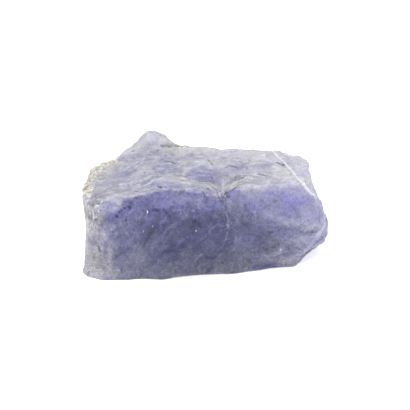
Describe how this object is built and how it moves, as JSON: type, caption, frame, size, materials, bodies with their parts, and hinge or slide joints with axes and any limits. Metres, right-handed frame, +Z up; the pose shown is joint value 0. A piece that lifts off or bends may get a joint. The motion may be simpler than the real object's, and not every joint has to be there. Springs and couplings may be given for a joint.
{
  "type": "rough tanzanite",
  "caption": "Rough uncut tanzanite: a blocky blue-violet stone with a cleaved pale top, broken faces, a mound and a notch; rests on a flat spot.",
  "frame": {"origin": "under the middle of the stone's bounding box, on the surface that it rests on", "axes": "+X along the stone's length, towards its undercut end; +Y to its back, the side of the mound; +Z up"},
  "size_m": [0.0336, 0.0174, 0.0139],
  "materials": {
    "tanzanite": "satin"
  },
  "bodies": {
    "root": {"tanzanite_stone": "tanzanite"}
  },
  "joints": []
}
